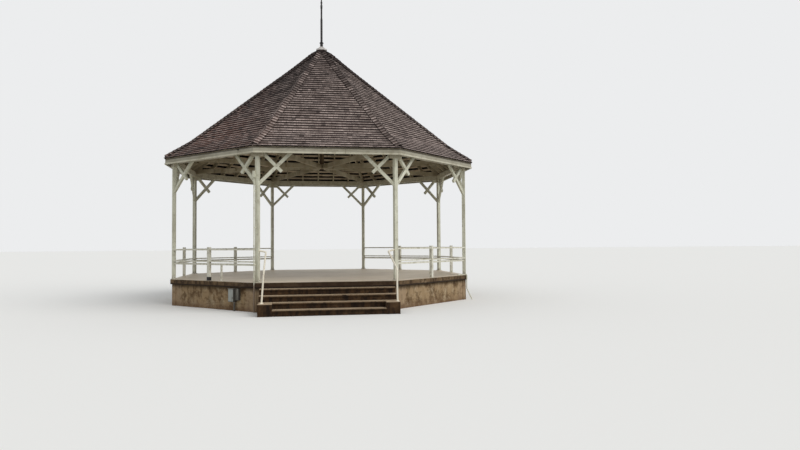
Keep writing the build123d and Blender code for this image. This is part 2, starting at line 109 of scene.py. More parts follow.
CAP_W = 0.108
CAP_L = 0.300
CAP_BUTT = 0.011
CAP_HEAD = 0.002
CAP_SHOWN = 0.122
CAP_RISE = CAP_BUTT * CAP_L / CAP_SHOWN
CAP_START = 0.054  # lower end of the first pair above the eave
CAP_LAP = 0.010  # one cap of a pair reaches this far over the hip
CAP_CURL = 0.004
CAP_REACH = 0.92  # share of the slope's half width that a cap takes at most
CAP_TONES = (0.22, 0.32, 0.44, 0.72)
CAP_TONE_STRAY = 0.08
HIP_TONES = {0: 0.68, SIDES - 1: 1.0}  # share of that tone on the front right hip and the front left one
SHADED_HIP_TONE = 0.12  # and on the others, a painted shade that darkens the hips seen edge-on
CAP_DARKEN = 0.35  # share of the tone that is lost from a hip's foot to its top
CAP_GRAIN = 0.80  # less of a cap than of a shingle gets the painted shade under the one above
CAP_TILT = 0.016  # a cap's outer edge below its edge on the hip
CAP_HEAP = 0.046  # the caps pile up towards the top
CAP_HEAP_RUN = 1.1
CAP_END_RUN = 0.40  # and settle again at the curb
FLASHING_H = 0.045
FLASHING_T = 0.004
FLASHING_LIP = 0.008  # its upper fold lies this far inside the curb's edge
SEAM_W = 0.007
SEAM_D = 0.012
SEAM_SHORTEST = 0.01
CAP_POINT = 0.02  # the cap is a point inside this radius

# Heights and places, in pairs, at which a stain, a painted shade or a painted highlight starts and is full

POST_SOIL = (FLOOR_TOP + 0.22, FLOOR_TOP + 0.06)
# painted shadow under the eaves, on the fascia's top
FASCIA_EAVE_SHADOW = (FASCIA_TOP - 0.030, FASCIA_TOP - 0.008)
# painted shadow along the slab's lower edge, where it overhangs the plinth
SLAB_EDGE_SHADOW = (SLAB_BOTTOM + 0.035, SLAB_BOTTOM + 0.010)
SLAB_DAMP_Y = (-3.2, -4.1)
SLAB_DAMP_X = (1.9, 1.5)
# painted shade on the plinth's top, under the slab's overhang
PLINTH_PAINTED_SHADE = (SLAB_BOTTOM - 0.13, SLAB_BOTTOM)
PLINTH_SOIL = (0.36, 0.14)
PILASTER_R = (4.34, 4.37)  # only the pilasters stand this far out
PIPE_SOIL = (FLOOR_TOP + 0.02, FLOOR_TOP - 0.10)
PIPE_SOIL_X = (0.5, -0.5)
ROOF_PALE = (7.4, 4.6)  # the shingles are paler low down
ROOF_RED_X = (-0.8, -3.0)  # and redder at the left
SHINGLE_WORN_AND_LIT = (0.065, 0.008)  # above a shingle's lower end, which is pale from wear and from a painted highlight
# painted shade and dirt on the part of a shingle under the next course's lower end
SHINGLE_PAINTED_SHADE = (0.062, 0.112)


def add_object(name, data):
    made = bpy.data.objects.new(name, data)
    bpy.context.scene.collection.objects.link(made)
    return made


def make_camera():
    data = bpy.data.cameras.new("camera")
    data.lens = CAMERA_LENS
    data.clip_end = CAMERA_SIGHT
    camera = add_object("camera", data)
    yaw, tilt, roll = (math.radians(angle) for angle in (CAMERA_YAW, 90 + CAMERA_PITCH, CAMERA_ROLL))
    turn = Matrix.Rotation(yaw, 4, "Z") @ Matrix.Rotation(tilt, 4, "X") @ Matrix.Rotation(roll, 4, "Z")
    camera.matrix_world = Matrix.Translation(CAMERA_PLACE) @ turn
    bpy.context.scene.camera = camera


# Materials


def linear(share):
    """Linear value of an sRGB one, both from 0 to 1."""
    return ((share + 0.055) / 1.055) ** 2.4 if share > 0.04045 else share / 12.92


def tint(red, green, blue):
    """Linear colour of an sRGB one that is given from 0 to 255."""
    return [linear(value / 255) for value in (red, green, blue)] + [1.0]


class Nodes:
    """A node tree, with short calls that add a node and return its output."""

    def __init__(self, tree):
        self.tree = tree

    def add(self, kind, inputs=None, output=0, **settings):
        node = self.tree.nodes.new("ShaderNode" + kind)
        for key, value in settings.items():
            setattr(node, key, value)
        for key, value in (inputs or {}).items():
            self.join(value, node.inputs[key])
        return node.outputs[output]

    def join(self, value, socket):
        """Links an output to the socket, or sets the socket's value."""
        if isinstance(value, bpy.types.NodeSocket):
            self.tree.links.new(value, socket)
        else:
            socket.default_value = value

    def split(self, vector):
        return list(self.add("SeparateXYZ", {0: vector}).node.outputs)

    def math(self, operation, a, b=0.0):
        return self.add("Math", {0: a, 1: b}, operation=operation)

    def plus(self, a, b):
        return self.math("ADD", a, b)

    def less(self, a, b):
        return self.math("SUBTRACT", a, b)

    def times(self, a, b):
        return self.math("MULTIPLY", a, b)

    def seen(self):
        """1 where a surface is looked at, straight or in another one, and 0 where it only gives light."""
        path = self.add("LightPath").node
        seen = self.math("MAXIMUM", path.outputs["Is Camera Ray"], path.outputs["Is Glossy Ray"])
        return self.math("MAXIMUM", seen, path.outputs["Is Transmission Ray"])


class Finish(Nodes):
    """A material: noises, stains, and the shader's colour, roughness and relief."""

    def __init__(self, name, roughness, metallic=0.0, specular=0.35):
        self.material = bpy.data.materials.new(name)
        self.material.use_nodes = True
        super().__init__(self.material.node_tree)
        self.shader = self.tree.nodes["Principled BSDF"]
        self.shader.inputs["Roughness"].default_value = roughness
        self.shader.inputs["Metallic"].default_value = metallic
        self.shader.inputs["Specular IOR Level"].default_value = specular
        self.place = self.add("TexCoord", output="Object")
        self.up = self.split(self.add("NewGeometry", output="Normal"))[2]
        self.x, self.y, self.height = self.split(self.place)

    def fade(self, value, low, high):
        """0 at low, 1 at high, smooth between; low may be above high."""
        settings = {"Value": value, "From Min": low, "From Max": high}
        return self.add("MapRange", settings, interpolation_type="SMOOTHSTEP")

    def noise(self, scale, stretch=(1, 1, 1), detail=4.0, rough=0.55, warp=0.0, place=None):
        spot = self.add("Mapping", {"Vector": place or self.place, "Scale": stretch})
        inputs = {"Vector": spot, "Scale": scale, "Detail": detail, "Roughness": rough, "Distortion": warp}
        return self.add("TexNoise", inputs)

    def ragged(self, noise, depth):
        """Height above the ground plus up to depth of a noise."""
        return self.plus(self.height, self.times(noise, depth))

    def mix(self, a, b, factor):
        return self.add("Mix", {0: factor, 6: a, 7: b}, output=2, data_type="RGBA")

    def stain(self, tone, colour, where, share):
        """The tone, with that share of colour over it where the value is 1."""
        return self.mix(tone, colour, self.times(where, share))

    def colour(self, value):
        self.join(value, self.shader.inputs["Base Color"])

    def rough(self, value, low, high):
        """Roughness from low to high as value goes from 0 to 1."""
        settings = {"Value": value, "To Min": low, "To Max": high}
        self.join(self.add("MapRange", settings), self.shader.inputs["Roughness"])

    def bump(self, height, distance, strength=1.0):
        """Relief of the given depth in metres, on top of any added before."""
        inputs = {"Height": height, "Distance": distance, "Strength": strength}
        socket = self.shader.inputs["Normal"]
        if socket.is_linked:
            inputs["Normal"] = socket.links[0].from_socket
        self.join(self.add("Bump", inputs), socket)


# Stretches of a noise: even, upright and lying level
EVEN = (1, 1, 1)
UPRIGHT = (1, 1, 0.08)
LYING = (0.2, 0.2, 1)

WHITE = tint(213, 213, 196)
DIRT = tint(158, 153, 130)
BARE = tint(112, 96, 76)
# colour of the painted shadow under the eaves
EAVE_SHADOW_TINT = tint(52, 44, 34)
RUST = tint(104, 62, 38)


def white_paint(name, paint, dirt=DIRT, stretch=EVEN, soil=None, eave_shadow=None, chips=0.64):
    """Chalky paint on wood, with runs, clouds and patches of dirt and small chips.

    Soil and the painted shadow under the eaves set in between two heights. A lower value of chips gives more
    of them.
    """
    f = Finish(name, roughness=0.62)
    runs = f.fade(f.noise(9, stretch, detail=6, rough=0.65), 0.46, 0.70)
    patch = f.fade(f.noise(6.5, detail=6, rough=0.7), 0.50, 0.64)
    cloud = f.fade(f.noise(1.7, detail=3), 0.35, 0.75)
    tone = f.stain(paint, dirt, runs, 0.60)
    tone = f.stain(tone, dirt, cloud, 0.22)
    tone = f.stain(tone, dirt, patch, 0.45)
    if soil is not None:
        tone = f.stain(tone, BARE, f.fade(f.ragged(f.noise(14), 0.16), *soil), 0.55)
    # painted shadow under the eaves, darkening the fascia's top
    if eave_shadow is not None:
        tone = f.stain(tone, EAVE_SHADOW_TINT, f.fade(f.ragged(f.noise(12, detail=5), 0.02), *eave_shadow), 0.8)
    flakes = f.fade(f.noise(34, stretch, detail=8, rough=0.7, warp=0.4), chips - 0.02, chips + 0.03)
    f.colour(f.stain(tone, BARE, flakes, 0.8))
    f.rough(cloud, 0.52, 0.78)
    f.bump(f.noise(60, stretch, detail=5), 0.0010, 0.6)
    f.bump(f.less(1.0, flakes), 0.0006)
    return f.material


def frame_wood(name, pale, grey, brown):
    """Old whitewash gone grey, with brown stains."""
    f = Finish(name, roughness=0.82, specular=0.2)
    cloud = f.fade(f.noise(1.3, detail=5, rough=0.6, warp=0.6), 0.32, 0.70)
    stains = f.fade(f.noise(5.0, (1, 1, 0.5), detail=6, rough=0.65, warp=0.8), 0.54, 0.72)
    fine = f.noise(90, (1, 1, 0.25), detail=4)
    tone = f.stain(f.mix(pale, grey, cloud), brown, stains, 0.75)
    f.colour(f.stain(tone, brown, fine, 0.25))
    f.bump(fine, 0.0009)
    return f.material


def dark_wood(name, dark, middle, pale):
    """Unpainted weathered timber, with upright grain."""
    f = Finish(name, roughness=0.8, specular=0.25)
    lines = f.noise(30, (1, 1, 0.05), detail=6, rough=0.6)
    tone = f.mix(dark, middle, f.fade(lines, 0.35, 0.75))
    f.colour(f.mix(tone, pale, f.fade(f.noise(3.2, detail=5), 0.58, 0.8)))
    f.bump(lines, 0.0015)
    return f.material


def shingle_wood(name):
    """Weathered shingles: a tone for each, grain up the slope, pale worn ends with a painted highlight,
    painted shade and dirt under the next course, and dark end grain with painted shade.
    """
    f = Finish(name, roughness=0.88, specular=0.15)
    across, along, tone = f.split(f.add("Attribute", output="Vector", attribute_name="grain"))
    spot = f.add("CombineXYZ", {0: across, 1: f.times(along, 0.05), 2: f.times(tone, 37.0)})
    lines = f.noise(110, detail=5, rough=0.65, place=spot)
    cloud = f.noise(1.1, detail=6, rough=0.66)
    age = f.plus(f.times(tone, 0.62), f.times(cloud, 0.28))
    age = f.plus(age, f.times(f.fade(f.height, *ROOF_PALE), 0.14))
    shade = f.mix(tint(38, 29, 27), tint(108, 93, 87), f.fade(age, 0.14, 0.86))
    red = f.times(f.fade(f.x, *ROOF_RED_X), f.fade(cloud, 0.30, 0.60))
    red = f.times(red, f.fade(tone, 0.03, 0.13))
    shade = f.stain(shade, tint(88, 52, 38), red, 0.85)
    clump = f.fade(f.noise(2.6, detail=6, rough=0.72), 0.36, 0.62)
    # pale lower ends: partly wear, partly a painted highlight where each course's lower edge catches the
    # light
    worn_and_lit = f.times(f.fade(along, *SHINGLE_WORN_AND_LIT), f.fade(lines, 0.30, 0.54))
    worn_and_lit = f.times(worn_and_lit, f.plus(0.45, f.times(clump, 0.65)))
    shade = f.stain(shade, tint(216, 199, 192), worn_and_lit, f.fade(age, 0.02, 0.82))
    # painted shade and dirt under the next course's lower end
    shade = f.stain(shade, tint(26, 19, 18), f.fade(along, *SHINGLE_PAINTED_SHADE), 0.97)
    shade = f.stain(shade, tint(30, 22, 21), f.fade(lines, 0.41, 0.31), 0.8)
    # faces turned down or aside, such as the lower ends: dark end grain and painted shade
    f.colour(f.mix(shade, tint(20, 15, 14), f.fade(f.up, 0.25, -0.05)))
    f.bump(lines, 0.0022)
    return f.material


def worn_risers(f, wall, worn_edge):
    """Upright faces of the steps and blocks, pale along the upper edges."""
    share = f.math("FRACT", f.math("DIVIDE", f.less(f.height, 0.0015), STEP_RISE))
    edge = f.times(f.fade(share, 0.82, 0.93), f.fade(f.noise(9, detail=5), 0.25, 0.50))
    block = f.fade(f.math("ABSOLUTE", f.x), TREAD_END - 0.01, TREAD_END + 0.01)
    half_way = f.times(block, f.fade(f.height, STEP_RISE + 0.01, STEP_RISE))
    edge = f.times(edge, f.less(1.0, half_way))
    return f.stain(wall, worn_edge, edge, 0.8)


def damp_and_shaded_slab_edge(f, wall, streak):
    """The slab's upright faces, damp in front, with a painted shadow along the lower edge."""
    damp = f.times(f.fade(f.y, *SLAB_DAMP_Y), f.fade(f.x, *SLAB_DAMP_X))
    wall = f.stain(wall, tint(46, 31, 19), damp, 0.85)
    # painted shadow along the lower edge
    shadow_line = f.fade(f.ragged(streak, -0.02), *SLAB_EDGE_SHADOW)
    return f.stain(wall, tint(26, 18, 12), shadow_line, 0.85)


def stained_concrete(name, top, top_stain, side, side_dark, side_pale, worn_edge=None):
    """Concrete with a worn light top and dark, blotchy upright faces: steps with worn_edge, or the slab."""
    f = Finish(name, roughness=0.86, specular=0.25)
    flat = f.fade(f.up, 0.55, 0.85)
    cloud = f.fade(f.noise(0.85, detail=6, rough=0.6, warp=0.5), 0.38, 0.72)
    grit = f.noise(150, detail=3)
    fleck = f.fade(f.noise(16, detail=6, rough=0.7), 0.56, 0.74)
    above = f.stain(top, top_stain, cloud, 0.7)
    above = f.stain(above, side, fleck, 0.22)
    streak = f.fade(f.noise(7.5, (1, 1, 0.25), detail=8, rough=0.72), 0.40, 0.62)
    patch = f.fade(f.noise(2.4, (1, 1, 1.6), detail=8, rough=0.7), 0.50, 0.66)
    wall = f.mix(side_dark, side, streak)
    wall = f.stain(wall, side_pale, patch, 0.7)
    if worn_edge is not None:
        wall = worn_risers(f, wall, worn_edge)
    else:
        wall = damp_and_shaded_slab_edge(f, wall, streak)
    f.colour(f.stain(f.mix(wall, above, flat), side_dark, grit, 0.18))
    f.rough(flat, 0.9, 0.5)
    f.bump(f.noise(9, detail=6, rough=0.6), 0.004, 0.5)
    f.bump(grit, 0.0012, 0.7)
    return f.material


def stucco(name):
    """Rough render on the plinth: blotches, faint joints, runs, a painted shade below the slab and soil at
    the ground.
    """
    f = Finish(name, roughness=0.92, specular=0.15)
    blotch = f.fade(f.noise(3.2, detail=9, rough=0.74), 0.43, 0.63)
    pale = f.fade(f.noise(4.6, (1, 1, 0.8), detail=8, rough=0.7), 0.50, 0.66)
    runs = f.fade(f.noise(11, (1, 1, 0.12), detail=7, rough=0.65), 0.50, 0.68)
    joints = f.fade(f.noise(3.0, (0.5, 0.5, 5), detail=6, rough=0.6), 0.60, 0.70)
    low = f.fade(f.ragged(f.noise(6, detail=5), 0.30), *PLINTH_SOIL)
    # painted shade under the slab's overhang
    shade = f.fade(f.ragged(runs, 0.06), *PLINTH_PAINTED_SHADE)
    tone = f.mix(tint(158, 135, 104), tint(96, 75, 53), blotch)
    tone = f.stain(tone, tint(188, 170, 140), pale, 0.75)
    tone = f.stain(tone, tint(70, 53, 36), runs, 0.42)
    tone = f.stain(tone, tint(82, 63, 44), joints, 0.5)
    plan = f.add("CombineXYZ", {0: f.x, 1: f.y})
    reach = f.add("VectorMath", {0: plan}, output=1, operation="LENGTH")
    pilaster = f.less(f.fade(reach, *PILASTER_R), f.times(blotch, 0.5))
    tone = f.stain(tone, tint(164, 142, 116), f.math("MAXIMUM", pilaster, 0.0), 0.75)
    tone = f.stain(tone, tint(110, 86, 66), low, 0.7)
    tone = f.stain(tone, tint(48, 36, 25), shade, 0.7)
    grain = f.noise(120, detail=5, rough=0.7)
    f.colour(f.stain(tone, tint(60, 48, 34), f.fade(grain, 0.55, 0.75), 0.35))
    f.bump(f.noise(7, detail=6), 0.008, 0.6)
    f.bump(grain, 0.0030)
    return f.material


def metal(name, base, wear, roughness, metallic, rust=0.0):
    """Bare or painted metal, with soft runs of weather and, where rust is given, spots of it."""
    f = Finish(name, roughness=roughness, metallic=metallic, specular=0.5)
    runs = f.fade(f.noise(14, (1, 1, 0.2), detail=6, rough=0.6), 0.42, 0.74)
    tone = f.mix(base, wear, runs)
    if rust:
        spots = f.fade(f.noise(26, detail=8, rough=0.7, warp=0.5), 0.60, 0.68)
        tone = f.stain(tone, RUST, spots, rust)
    f.colour(tone)
    f.rough(runs, roughness - 0.08, roughness + 0.15)
    f.bump(f.noise(70, detail=4), 0.0005, 0.5)
    return f.material


def conduit_finish(name):
    """Plastic pipe, brown with soil low down on the left."""
    f = Finish(name, roughness=0.5)
    low = f.times(f.fade(f.height, *PIPE_SOIL), f.fade(f.x, *PIPE_SOIL_X))
    dull = f.fade(f.noise(22, (1, 1, 0.4), detail=6), 0.42, 0.66)
    tone = f.stain(tint(206, 206, 188), tint(164, 158, 138), dull, 0.6)
    f.colour(f.stain(tone, tint(118, 98, 82), low, 0.9))
    f.bump(f.noise(80, detail=3), 0.0004, 0.5)
    return f.material


post_paint = white_paint("post_paint", WHITE, stretch=UPRIGHT, soil=POST_SOIL)
rail_paint = white_paint("rail_paint", tint(222, 220, 207), chips=0.62)
brace_paint = white_paint("brace_paint", WHITE)
beam_paint = white_paint("beam_paint", tint(190, 184, 164), tint(134, 124, 100), chips=0.60)
# the fascia's top gets a painted shadow under the eaves
fascia_paint = white_paint(
    "fascia_paint", tint(164, 160, 144), tint(124, 116, 98), stretch=LYING, eave_shadow=FASCIA_EAVE_SHADOW, chips=0.62
)
trim_paint = white_paint("trim_paint", tint(196, 192, 174), tint(150, 143, 122), stretch=LYING)
greyed_wood = frame_wood("greyed_wood", tint(192, 182, 158), tint(150, 138, 114), tint(96, 80, 58))
old_boards = frame_wood("old_boards", tint(214, 200, 178), tint(168, 152, 130), tint(104, 84, 64))
king_wood = dark_wood("king_wood", tint(58, 46, 33), tint(120, 101, 76), tint(146, 128, 100))
curb_wood = dark_wood("curb_wood", tint(34, 26, 24), tint(74, 61, 56), tint(110, 96, 90))
joint_shade = dark_wood("joint_shade", tint(30, 26, 22), tint(46, 40, 34), tint(60, 52, 44))
shingles = shingle_wood("shingles")
floor_concrete = stained_concrete(
    "floor_concrete",
    top=tint(216, 202, 179),
    top_stain=tint(192, 176, 152),
    side=tint(116, 95, 70),
    side_dark=tint(58, 43, 29),
    side_pale=tint(154, 133, 105),
)
step_concrete = stained_concrete(
    "step_concrete",
    top=tint(188, 168, 142),
    top_stain=tint(150, 130, 106),
    side=tint(66, 46, 26),
    side_dark=tint(26, 15, 7),
    side_pale=tint(90, 68, 45),
    worn_edge=tint(154, 134, 110),
)
plinth_stucco = stucco("plinth_stucco")
pipe_paint = metal("pipe_paint", tint(238, 231, 214), tint(212, 201, 180), 0.38, 0.0, rust=0.6)
fixing_paint = metal("fixing_paint", tint(202, 200, 184), tint(164, 156, 136), 0.5, 0.0, rust=0.7)
zinc = metal("zinc", tint(206, 202, 198), tint(168, 164, 160), 0.50, 0.35)
iron = metal("iron", tint(30, 28, 28), tint(52, 48, 46), 0.55, 0.35, rust=0.5)
bolt_metal = metal("bolt_metal", tint(132, 126, 116), tint(96, 84, 72), 0.55, 0.4, rust=0.8)
# darker greys than the door: a painted shade on the box's sides and on its smaller right part
box_shaded_paint = metal("box_shaded_paint", tint(78, 76, 70), tint(52, 49, 44), 0.55, 0.1, rust=0.5)
box_door = metal("box_door", tint(156, 160, 156), tint(118, 120, 114), 0.45, 0.1, rust=0.3)
box_shaded_lid = metal("box_shaded_lid", tint(112, 110, 102), tint(78, 75, 68), 0.5, 0.1, rust=0.4)
plastic_pipe = conduit_finish("plastic_pipe")

NODE_FINISH = {
    "plinth": plinth_stucco,
    "floor_slab": floor_concrete,
    "entry_steps": step_concrete,
    "step_cheeks": step_concrete,
    "handrails": pipe_paint,
    "bolsters": beam_paint,
    "ring_beam": beam_paint,
    "tie_beams": greyed_wood,
    "hip_rafters": greyed_wood,
    "common_rafters": greyed_wood,
    "king_post": king_wood,
    "fascia": fascia_paint,
    "cap_curb": curb_wood,
    "roof_cap": zinc,
    "finial": iron,
    "meter_box": box_shaded_paint,
    "conduits": plastic_pipe,
}
GROUP_FINISH = {"post": post_paint, "braces": brace_paint, "railing": rail_paint, "roof": shingles}


def dress_nodes():
    """Gives each carried-over node its own finish, or that of its group."""
    for name, node in nodes.items():
        finish = NODE_FINISH.get(name) or GROUP_FINISH[name.split("_")[0]]
        node.data.materials.clear()
        node.data.materials.append(finish)


# Mesh building

NO_GRAIN = (0, 0, 0.5)
WASHER_T = 0.0025
WASHER_SIDES = 10
BOLT_HEAD_T = 0.008
SCREW_SIDES = 8


class Heap:
    """Gathers small solids into one mesh. Each vertex keeps grain coordinates: across, along, tone."""

    def __init__(self):
        self.points = []
        self.faces = []
        self.grain = []

    def prism(self, top, bottom, grain=None):
        """Solid between two outlines of equal length."""
        first = len(self.points)
        count = len(top)
        grain = grain or [NO_GRAIN] * count
        self.points += [*top, *bottom]
        self.grain += [*grain, *grain]
        self.faces.append([first + i for i in range(count)])
        self.faces.append([first + count + i for i in reversed(range(count))])
        for i in range(count):
            j = (i + 1) % count
            self.faces.append([first + j, first + i, first + count + i, first + count + j])

    def bar(self, start, end, width, depth, up=None):
        """Square bar from start to end; depth is measured along up."""
        axis = (end - start).normalized()
        if up is None:
            up = UP if abs(axis.z) < 0.9 else Vector((1, 0, 0))
        side = axis.cross(up).normalized() * width / 2
        over = side.cross(axis).normalized() * depth / 2
        ring = [side + over, over - side, -side - over, side - over]
        self.prism([end + r for r in ring], [start + r for r in ring])

    def disc(self, start, axis, radius, thick, sides=6, narrow=1.0):
        """Many-sided plate standing on start along axis, whose far end is narrow times as wide."""
        axis = axis.normalized()
        one = axis.orthogonal().normalized()
        two = axis.cross(one)
        turns = [2 * math.pi * i / sides for i in range(sides)]
        ring = [one * math.cos(t) * radius + two * math.sin(t) * radius for t in turns]
        top = [start + axis * thick + r * narrow for r in ring]
        self.prism(top, [start + r for r in ring])

    def bolt(self, spot, axis, radius, washer):
        """Six-sided head on a round washer."""
        self.disc(spot, axis, washer, WASHER_T, WASHER_SIDES)
        self.disc(spot + axis.normalized() * WASHER_T, axis, radius, BOLT_HEAD_T)

    def screw(self, spot, axis, radius, thick, narrow=0.7):
        """Low round head."""
        self.disc(spot, axis, radius, thick, SCREW_SIDES, narrow)

    def piece(self, name, material, slot, replaces=()):
        """Adds the mesh as a piece of the object that rides on its only body."""
        mesh = bpy.data.meshes.new(name)
        mesh.from_pydata([tuple(p) for p in self.points], [], self.faces)
        attribute = mesh.attributes.new("grain", "FLOAT_VECTOR", "POINT")
        attribute.data.foreach_set("vector", [value for spot in self.grain for value in spot])
        closed = bmesh.new()
        closed.from_mesh(mesh)
        bmesh.ops.recalc_face_normals(closed, faces=closed.faces)
        closed.to_mesh(mesh)
        closed.free()
        mesh.materials.append(material)
        piece = add_object(name, mesh)
        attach(piece, "root")
        if replaces:
            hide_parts(*replaces)


def middle_of(spots):
    return sum(spots, Vector()) / len(spots)


def bay_axes(angle):
    """Level unit vectors: out, and to the right of someone outside who faces the bay."""
    return Vector((math.cos(angle), math.sin(angle), 0)), Vector((-math.sin(angle), math.cos(angle), 0))


def bay_point(angle, out, along, z):
    """Point of a bay: out from the building's axis, along the bay from its middle."""
    c = math.cos(angle)
    s = math.sin(angle)
    return Vector((out * c - along * s, out * s + along * c, z))


# Roof cover


def roof_section():
    """Underside of the roof cover as (distance out, height), from the eave to the top."""
    spots = {(round(-v.co.y, 4), round(v.co.z, 4)) for v in nodes["roof_front"].data.vertices}
    reaches = sorted({a for a, _ in spots}, reverse=True)
    return [(a, min(z for b, z in spots if b == a)) for a in reaches]


class Slope:
    """Places things on the roof: run is measured up the slope from the eave, lift square to it."""

    def __init__(self):
        (eave_a, eave_z), (kick_a, kick_z), (top_a, top_z) = roof_section()
        low_pitch = math.atan2(kick_z - eave_z, eave_a - kick_a)
        self.pitches = (low_pitch, math.atan2(top_z - kick_z, kick_a - top_a))
        self.cover = BOARD_T + SHINGLE_HEAD + SHINGLE_RISE
        inset = (self.cover + SHINGLE_CURL) * math.sin(low_pitch)
        self.start = (eave_a - inset, eave_z + inset * math.tan(low_pitch))
        self.kick = (kick_a, kick_z)
        self.kick_run = (self.start[0] - kick_a) / math.cos(low_pitch)
        self.length = self.kick_run + (kick_a - top_a) / math.cos(self.pitches[1])

    def section(self, run, lift=0.0):
        """(distance out, height) of a point in the section."""
        if run < self.kick_run:
            (a, z), pitch, rest = self.start, self.pitches[0], run
        else:
            (a, z), pitch, rest = self.kick, self.pitches[1], run - self.kick_run
        out = a - rest * math.cos(pitch) + lift * math.sin(pitch)
        return out, z + rest * math.sin(pitch) + lift * math.cos(pitch)

    def reach(self, run):
        """Half the slope's width at that run, from its middle to a hip."""
        return self.section(run)[0] * math.tan(HALF)

    def point(self, angle, across, run, lift):
        a, z = self.section(run, lift)
        out, along = bay_axes(angle)
        return out * a + along * across + UP * z


slope = Slope()


def cut_at_hip(outline, runs, side):
    """Part of an outline of (across, share of the run) that lies inside one hip."""

    def inside(spot):
        near, far = (slope.reach(run) for run in runs)
        return near + (far - near) * spot[1] - side * spot[0]

    kept = []
    for here, there in zip(outline, outline[1:] + outline[:1]):
        a, b = inside(here), inside(there)
        if a >= 0:
            kept.append(here)
        if a * b < 0:
            share = a / (a - b)
            kept.append(tuple(h + (t - h) * share for h, t in zip(here, there)))
    return kept


def lay_board(heap, angle, left, right, runs, tops, bottoms, tone):
    """Flat or tapered board on the slope, cut at the hips: tops and bottoms are its lifts at each run."""
    outline = [(left, 0.0), (right, 0.0), (right, 1.0), (left, 1.0)]
    for side in (-1, 1):
        outline = cut_at_hip(outline, runs, side)
    places = [x for x, _ in outline]
    if len(outline) < 3 or max(places) - min(places) < NARROWEST:
        return
    ends = [[slope.point(angle, 0, run, lift) for run, lift in zip(runs, lifts)] for lifts in (tops, bottoms)]
    _, along = bay_axes(angle)
    faces = [[near.lerp(far, share) + along * x for x, share in outline] for near, far in ends]
    grain = [(x - left, share * (runs[1] - runs[0]), tone) for x, share in outline]
    heap.prism(*faces, grain)


def lay_course(heap, angle, butt, tops, bottoms, length, tones):
    """One row of shingles across a slope, with their lower ends at about the run called butt."""
    reach = slope.reach(butt)
    x = -reach - random.uniform(0, SHINGLE_W[0])
    while x < reach:
        width = random.uniform(*SHINGLE_W)
        low = butt + random.uniform(0, SHINGLE_STRAY)
        curl = random.uniform(-SHINGLE_SINK, SHINGLE_CURL)
        tone = min(1.0, max(0.0, random.gauss(*tones)))
        runs = (low, low + length)
        lifts = (tops[0] + curl, tops[1]), (bottoms[0] + curl, bottoms[1])
        lay_board(heap, angle, x, x + width - SHINGLE_GAP, runs, *lifts, tone)
        x += width


def build_shingles(angle, name):
    """Shingles of one slope, with two starter courses under the first row."""
    heap = Heap()
    for layer in (0, 1):
        bottom = BOARD_T + layer * SHINGLE_BUTT
        tops = (bottom + SHINGLE_BUTT, bottom + SHINGLE_HEAD)
        lay_course(heap, angle, 0.0, tops, (bottom, bottom), STARTER_L, STARTER_TONES)
    tones = (SLOPE_TONE_AND_SHADE.get(name, BACK_TONE), TONE_SPREAD)
    for number in range(int((slope.length - LAST_COURSE) / SHINGLE_SHOWN)):
        butt = number * SHINGLE_SHOWN
        length = min(SHINGLE_L, slope.length - butt)
        head = slope.cover - SHINGLE_RISE * length / SHINGLE_L
        lifts = (slope.cover, head), (slope.cover - SHINGLE_BUTT, head - SHINGLE_HEAD)
        lay_course(heap, angle, butt, *lifts, length, tones)
    heap.piece(f"shingles_{name}", shingles, "wood_shingles", [f"roof_{name}"])


def build_boarding(angle, name):
    """Open boarding of one slope, with a joint in each long course."""
    heap = Heap()
    run = BOARD_START
    while run < slope.length - BOARD_W:
        runs = (run, run + BOARD_W)
        reach = slope.reach(run)
        cuts = [-reach]
        if reach > JOINTED_REACH:
            cuts.append(random.choice((-1, 0, 1)) * reach / 3)
        for left, right in zip(cuts, cuts[1:] + [reach]):
            lay_board(heap, angle, left + BOARD_GAP, right, runs, (BOARD_T, BOARD_T), (0, 0), random.random())
        run += BOARD_PITCH
        if run < slope.kick_run < run + BOARD_W:
            run = slope.kick_run + BOARD_KICK
    heap.piece(f"boarding_{name}", old_boards, "frame_wood")


def cap_corner(angle, side, run, inward, lift):
    """Point on a slope near its hip: inward is measured square to the hip, from the hip's line."""
    pitch = slope.pitches[0 if run < slope.kick_run else 1]
    drift = math.tan(HALF) * math.cos(pitch)
    mitre = math.tan(math.asin(math.sin(pitch) * math.sin(HALF)))
    step = (inward - lift * mitre * (inward <= 0)) / math.hypot(1, drift)
    along = max(run - step * drift, 0.0)
    return slope.point(angle, side * (slope.reach(run) - step), along, lift)


def heaped_at(run):
    """How far the caps have piled up at that run."""
    left = slope.length - run
    return CAP_HEAP * max(0.0, 1 - left / CAP_HEAP_RUN) ** 1.5 * min(1.0, 0.3 + left / CAP_END_RUN)


def lay_cap(heap, angle, side, low, lap, tone, curl):
    """One cap beside a hip, from the run called low upwards."""
    length = min(CAP_L, slope.length - low)
    top, bottom, grain = [], [], []
    for along, thick, share in ((0.0, CAP_BUTT, 1.0), (length, CAP_HEAD, 1 - length / CAP_L)):
        run = low + along
        heaped = heaped_at(run)
        level = slope.cover + CAP_HEAD + CAP_TILT + CAP_RISE * share + curl + heaped
        fall = CAP_TILT + 0.5 * CAP_RISE * share + 0.85 * heaped
        width = min(CAP_W, slope.reach(run) * CAP_REACH)
        edges = [(lap, level), (width, level - fall)]
        if along:
            edges.reverse()
        top += [cap_corner(angle, side, run, inward, high) for inward, high in edges]
        bottom += [cap_corner(angle, side, run, inward, high - thick) for inward, high in edges]
        grain += [(inward, along * CAP_GRAIN, tone) for inward, _ in edges]
    heap.prism(top, bottom, grain)


